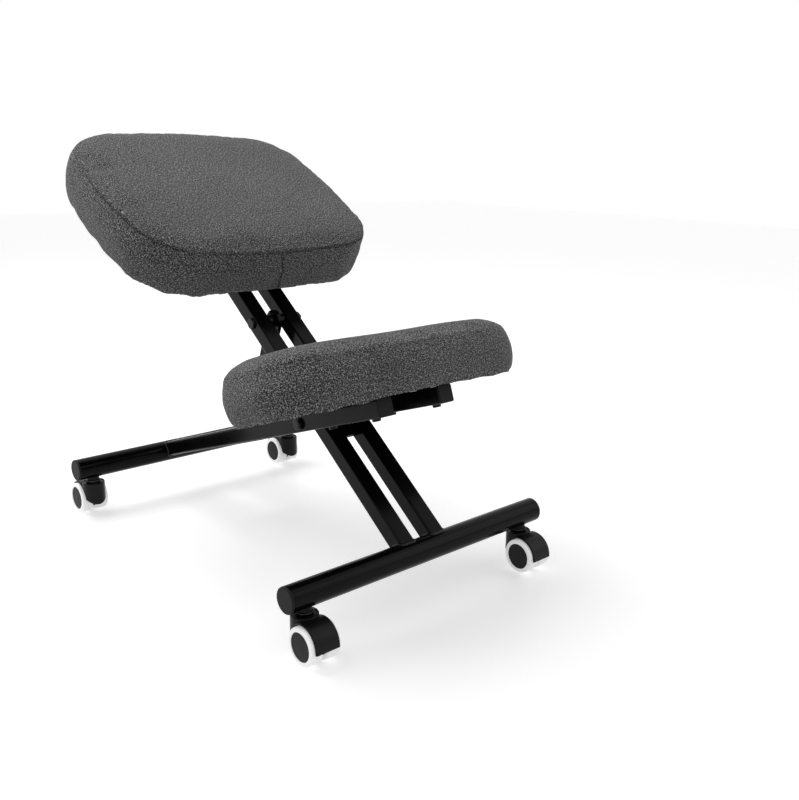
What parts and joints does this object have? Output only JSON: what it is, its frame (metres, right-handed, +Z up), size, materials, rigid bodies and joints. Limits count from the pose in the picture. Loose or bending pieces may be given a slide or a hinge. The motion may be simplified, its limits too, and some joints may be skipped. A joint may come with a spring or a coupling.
{
  "type": "kneeling chair",
  "caption": "Kneeling chair with a tilted boxed seat, a knee pad, a scissor frame of square tubes on two round bars, a slotted height link and swivel twin-wheel casters.",
  "frame": {"origin": "on the floor, at the middle of the chair's outline seen from above", "axes": "+Z up, the sitter faces -Y, +X is on the sitter's left hand. Left and right in names are as seen from the front, so left is -X"},
  "size_m": [0.45, 0.7042, 0.6268],
  "materials": {
    "frame_paint": "gloss black powder coat",
    "cap_plastic": "matte black moulded plastic",
    "black_bolts": "black oxide with a satin sheen",
    "stem_steel": "satin turned steel",
    "plywood": "raw plywood",
    "under_cloth": "thin black non-woven dust cover",
    "woven_cloth": "dark grey melange plain weave",
    "caster_plastic": "semi-gloss black nylon",
    "hub_plastic": "matte black nylon",
    "tread_rubber": "smooth white polyurethane"
  },
  "bodies": {
    "seat_frame": {"front_bar": "frame_paint", "front_bar_caps": "cap_plastic", "front_caster_sockets": "cap_plastic", "front_caster_stems": "stem_steel", "post_left": "frame_paint", "post_right": "frame_paint", "post_tie_plate": "frame_paint", "pivot_sleeve": "frame_paint", "link_top_bolt": "black_bolts", "link_top_nut": "black_bolts", "seat_plate": "frame_paint", "seat_board": "plywood", "seat_cover": "under_cloth", "seat_cushion": "woven_cloth", "seat_bolts": "black_bolts"},
    "knee_frame": {"rear_bar": "frame_paint", "rear_bar_caps": "cap_plastic", "rear_caster_sockets": "cap_plastic", "rear_caster_stems": "stem_steel", "arm_left": "frame_paint", "arm_right": "frame_paint", "arm_front_caps": "cap_plastic", "arm_cross_tube": "frame_paint", "slot_lugs": "frame_paint", "pivot_bolt": "black_bolts", "pivot_nut": "black_bolts", "pivot_washers": "black_bolts", "knee_board": "plywood", "knee_cover": "under_cloth", "knee_cushion": "woven_cloth", "knee_bolts": "black_bolts"},
    "height_link": {"height_link": "frame_paint", "slot_bolt": "black_bolts", "slot_nut": "black_bolts"},
    "caster_front_left": {"hood_front_left": "caster_plastic", "axle_front_left": "stem_steel"},
    "wheel_front_left_outer": {"hub_front_left_outer": "hub_plastic", "tread_front_left_outer": "tread_rubber"},
    "wheel_front_left_inner": {"hub_front_left_inner": "hub_plastic", "tread_front_left_inner": "tread_rubber"},
    "caster_front_right": {"hood_front_right": "caster_plastic", "axle_front_right": "stem_steel"},
    "wheel_front_right_outer": {"hub_front_right_outer": "hub_plastic", "tread_front_right_outer": "tread_rubber"},
    "wheel_front_right_inner": {"hub_front_right_inner": "hub_plastic", "tread_front_right_inner": "tread_rubber"},
    "caster_rear_left": {"hood_rear_left": "caster_plastic", "axle_rear_left": "stem_steel"},
    "wheel_rear_left_outer": {"hub_rear_left_outer": "hub_plastic", "tread_rear_left_outer": "tread_rubber"},
    "wheel_rear_left_inner": {"hub_rear_left_inner": "hub_plastic", "tread_rear_left_inner": "tread_rubber"},
    "caster_rear_right": {"hood_rear_right": "caster_plastic", "axle_rear_right": "stem_steel"},
    "wheel_rear_right_outer": {"hub_rear_right_outer": "hub_plastic", "tread_rear_right_outer": "tread_rubber"},
    "wheel_rear_right_inner": {"hub_rear_right_inner": "hub_plastic", "tread_rear_right_inner": "tread_rubber"}
  },
  "joints": [
    {"name": "frame_hinge", "type": "hinge", "parent": "seat_frame", "child": "knee_frame", "pos_m": [0, -0.11369, 0.22705], "axis": [1, 0, 0], "range_deg": [-5, 5]},
    {"name": "link_hinge", "type": "hinge", "parent": "seat_frame", "child": "height_link", "pos_m": [0, 0.04205, 0.34441], "axis": [1, 0, 0], "range_deg": [-9.4, 9.4]},
    {"name": "swivel_front_left", "type": "hinge", "parent": "seat_frame", "child": "caster_front_left", "pos_m": [-0.196, -0.30349, 0.0486], "axis": [0, 0, 1], "continuous": true},
    {"name": "spin_front_left_outer", "type": "hinge", "parent": "caster_front_left", "child": "wheel_front_left_outer", "pos_m": [-0.209, -0.32349, 0.025], "axis": [1, 0, 0], "continuous": true},
    {"name": "spin_front_left_inner", "type": "hinge", "parent": "caster_front_left", "child": "wheel_front_left_inner", "pos_m": [-0.183, -0.32349, 0.025], "axis": [1, 0, 0], "continuous": true},
    {"name": "swivel_front_right", "type": "hinge", "parent": "seat_frame", "child": "caster_front_right", "pos_m": [0.196, -0.30349, 0.0486], "axis": [0, 0, 1], "continuous": true},
    {"name": "spin_front_right_outer", "type": "hinge", "parent": "caster_front_right", "child": "wheel_front_right_outer", "pos_m": [0.209, -0.32349, 0.025], "axis": [1, 0, 0], "continuous": true},
    {"name": "spin_front_right_inner", "type": "hinge", "parent": "caster_front_right", "child": "wheel_front_right_inner", "pos_m": [0.183, -0.32349, 0.025], "axis": [1, 0, 0], "continuous": true},
    {"name": "swivel_rear_left", "type": "hinge", "parent": "knee_frame", "child": "caster_rear_left", "pos_m": [-0.196, 0.29851, 0.0486], "axis": [0, 0, 1], "continuous": true},
    {"name": "spin_rear_left_outer", "type": "hinge", "parent": "caster_rear_left", "child": "wheel_rear_left_outer", "pos_m": [-0.209, 0.31851, 0.025], "axis": [1, 0, 0], "continuous": true},
    {"name": "spin_rear_left_inner", "type": "hinge", "parent": "caster_rear_left", "child": "wheel_rear_left_inner", "pos_m": [-0.183, 0.31851, 0.025], "axis": [1, 0, 0], "continuous": true},
    {"name": "swivel_rear_right", "type": "hinge", "parent": "knee_frame", "child": "caster_rear_right", "pos_m": [0.196, 0.29851, 0.0486], "axis": [0, 0, 1], "continuous": true},
    {"name": "spin_rear_right_outer", "type": "hinge", "parent": "caster_rear_right", "child": "wheel_rear_right_outer", "pos_m": [0.209, 0.31851, 0.025], "axis": [1, 0, 0], "continuous": true},
    {"name": "spin_rear_right_inner", "type": "hinge", "parent": "caster_rear_right", "child": "wheel_rear_right_inner", "pos_m": [0.183, 0.31851, 0.025], "axis": [1, 0, 0], "continuous": true}
  ],
  "couplings": [
    {"joint": "link_hinge", "follows": "frame_hinge", "ratio": 1.818}
  ]
}
